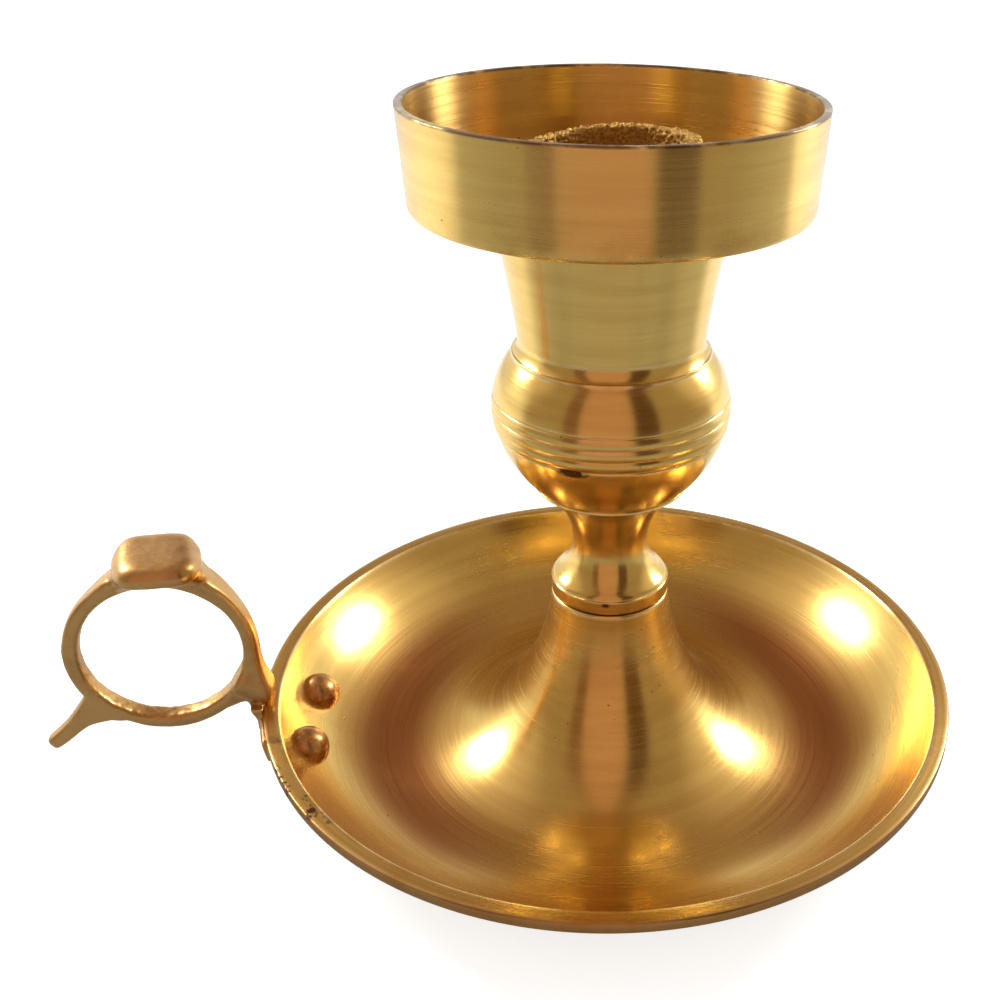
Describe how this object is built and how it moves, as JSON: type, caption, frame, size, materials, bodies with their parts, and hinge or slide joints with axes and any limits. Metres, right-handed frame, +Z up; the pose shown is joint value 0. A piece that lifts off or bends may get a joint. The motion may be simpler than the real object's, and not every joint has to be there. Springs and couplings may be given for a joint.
{
  "type": "chamberstick with finger loop",
  "caption": "Brass chamberstick: a round drip dish with a finger loop riveted to its rim carries a turned pillar with a candle socket and a wide drip cup.",
  "frame": {"origin": "on the dish's axis, at the plane of the turned foot ring that the dish rests on", "axes": "+Z up along the pillar, -X towards the finger loop"},
  "size_m": [0.1557, 0.12, 0.1138],
  "materials": {
    "dish_brass": "satin, turned",
    "pillar_brass": "polished, turned",
    "cup_brass": "brushed, turned",
    "loop_brass": "satin, cast",
    "rivet_bronze": "tarnished",
    "stud_steel": "plain"
  },
  "bodies": {
    "base": {"drip_dish": "dish_brass", "finger_loop": "loop_brass", "rivet_front": "rivet_bronze", "rivet_rear": "rivet_bronze"},
    "stud": {"stem_stud": "stud_steel"},
    "pillar": {"stem_foot": "pillar_brass", "candle_socket": "pillar_brass"},
    "cup": {"candle_cup": "cup_brass"}
  },
  "joints": [
    {"name": "pillar_rise", "type": "slide", "parent": "base", "child": "stud", "axis": [0, 0, 1], "range_m": [0, 0.00751]},
    {"name": "pillar_turn", "type": "hinge", "parent": "stud", "child": "pillar", "pos_m": [0, 0, 0.0324], "axis": [0, 0, 1], "range_deg": [0, 2160]},
    {"name": "cup_lift", "type": "slide", "parent": "pillar", "child": "cup", "axis": [0, 0, 1], "range_m": [0, 0.012]}
  ],
  "couplings": [
    {"joint": "pillar_rise", "follows": "pillar_turn", "m_per_rad": 0.00019894}
  ]
}
